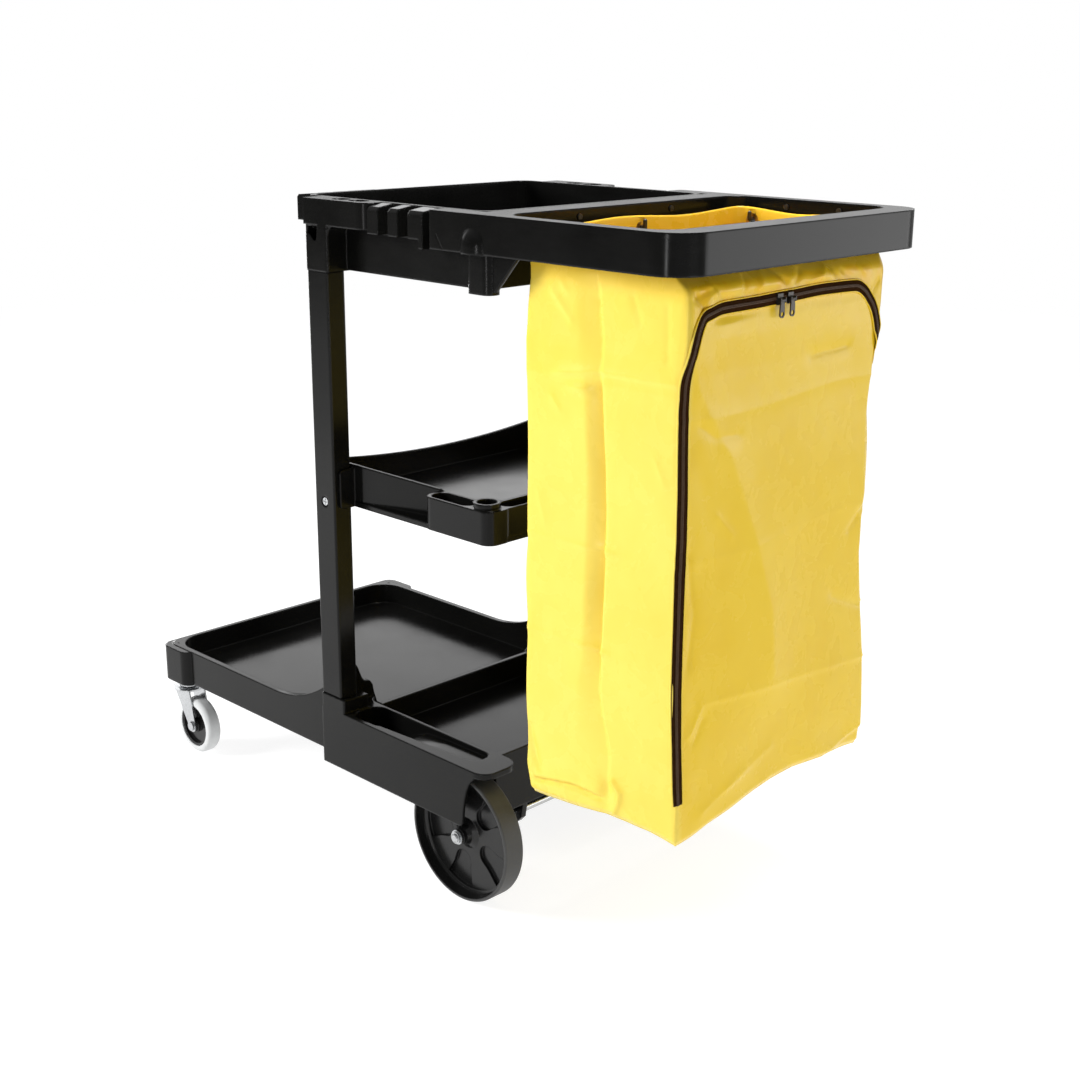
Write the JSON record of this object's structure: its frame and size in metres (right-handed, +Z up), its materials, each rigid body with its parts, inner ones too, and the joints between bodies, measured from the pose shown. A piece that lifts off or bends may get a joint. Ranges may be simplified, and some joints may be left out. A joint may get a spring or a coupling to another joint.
{
  "type": "janitor cart",
  "caption": "Janitor cart with a moulded platform, twin uprights, middle shelf, top tray and a hooked zip vinyl bag, on fixed rear wheels and front swivel casters.",
  "frame": {"origin": "on the floor under the centre of the overall box", "axes": "+X towards the bag end, -X towards the casters, +Y to the right of a person pushing from the bag end, +Z up"},
  "size_m": [1.156, 0.5358, 0.995],
  "materials": {
    "black_plastic": "moulded, semi-gloss black",
    "wheel_plastic": "moulded, satin black",
    "rear_tyre": "dark solid rubber",
    "grey_tyre": "grey non-marking rubber",
    "zinc_steel": "bright zinc",
    "dark_metal": "dark oxide",
    "bag_vinyl": "vinyl coated cloth, soft sheen",
    "grommet_brass": "dull",
    "zip_tape": "woven tape"
  },
  "bodies": {
    "frame": {"base_platform": "black_plastic", "post_left": "black_plastic", "post_right": "black_plastic", "mid_shelf": "black_plastic", "top_tray": "black_plastic", "bag_frame": "black_plastic", "tool_rack_left": "black_plastic", "tool_rack_right": "black_plastic", "tool_rack_front": "black_plastic", "shelf_bolts": "zinc_steel", "shelf_nuts": "zinc_steel", "frame_screws": "dark_metal", "bag_hooks": "dark_metal", "rear_axle": "zinc_steel", "axle_washers": "zinc_steel", "axle_push_nuts": "zinc_steel", "caster_plate_left": "zinc_steel", "caster_plate_right": "zinc_steel", "caster_screws": "zinc_steel", "caster_race_left": "zinc_steel", "caster_race_right": "zinc_steel", "caster_kingpin_left": "zinc_steel", "caster_kingpin_right": "zinc_steel"},
    "rear_wheel_left": {"rear_wheel_left": "wheel_plastic", "rear_tyre_left": "rear_tyre"},
    "caster_left": {"caster_fork_left": "zinc_steel", "caster_axle_left": "zinc_steel", "caster_nut_left": "zinc_steel"},
    "caster_roller_left": {"caster_wheel_left": "wheel_plastic", "caster_tyre_left": "grey_tyre"},
    "rear_wheel_right": {"rear_wheel_right": "wheel_plastic", "rear_tyre_right": "rear_tyre"},
    "caster_right": {"caster_fork_right": "zinc_steel", "caster_axle_right": "zinc_steel", "caster_nut_right": "zinc_steel"},
    "caster_roller_right": {"caster_wheel_right": "wheel_plastic", "caster_tyre_right": "grey_tyre"},
    "bag": {"vinyl_bag": "bag_vinyl", "bag_grommets": "grommet_brass", "zipper_tape": "zip_tape"},
    "zip_slider_left": {"zipper_slider_left": "dark_metal"},
    "zip_pull_left": {"zipper_pull_left": "dark_metal"},
    "zip_slider_right": {"zipper_slider_right": "dark_metal"},
    "zip_pull_right": {"zipper_pull_right": "dark_metal"}
  },
  "joints": [
    {"name": "rear_spin_left", "type": "hinge", "parent": "frame", "child": "rear_wheel_left", "pos_m": [0.188, -0.2365, 0.1], "axis": [0, 1, 0], "continuous": true},
    {"name": "rear_spin_right", "type": "hinge", "parent": "frame", "child": "rear_wheel_right", "pos_m": [0.188, 0.2365, 0.1], "axis": [0, 1, 0], "continuous": true},
    {"name": "caster_swivel_left", "type": "hinge", "parent": "frame", "child": "caster_left", "pos_m": [-0.552, -0.227, 0.113], "axis": [0, 0, 1], "continuous": true},
    {"name": "caster_roll_left", "type": "hinge", "parent": "caster_left", "child": "caster_roller_left", "pos_m": [-0.525, -0.227, 0.05], "axis": [0, 1, 0], "continuous": true},
    {"name": "caster_swivel_right", "type": "hinge", "parent": "frame", "child": "caster_right", "pos_m": [-0.552, 0.227, 0.113], "axis": [0, 0, 1], "continuous": true},
    {"name": "caster_roll_right", "type": "hinge", "parent": "caster_right", "child": "caster_roller_right", "pos_m": [-0.525, 0.227, 0.05], "axis": [0, 1, 0], "continuous": true},
    {"name": "bag_lift", "type": "slide", "parent": "frame", "child": "bag", "axis": [0, 0, 1], "range_m": [0, 0.005]},
    {"name": "zip_run_left", "type": "slide", "parent": "bag", "child": "zip_slider_left", "axis": [0, 1, 0], "range_m": [-0.097, 0.004]},
    {"name": "zip_tab_left", "type": "hinge", "parent": "zip_slider_left", "child": "zip_pull_left", "pos_m": [0.564, -0.043, 0.899], "axis": [0, -1, 0], "range_deg": [0, 150]},
    {"name": "zip_run_right", "type": "slide", "parent": "bag", "child": "zip_slider_right", "axis": [0, 1, 0], "range_m": [-0.004, 0.15]},
    {"name": "zip_tab_right", "type": "hinge", "parent": "zip_slider_right", "child": "zip_pull_right", "pos_m": [0.564, -0.0215, 0.899], "axis": [0, -1, 0], "range_deg": [0, 150]}
  ]
}
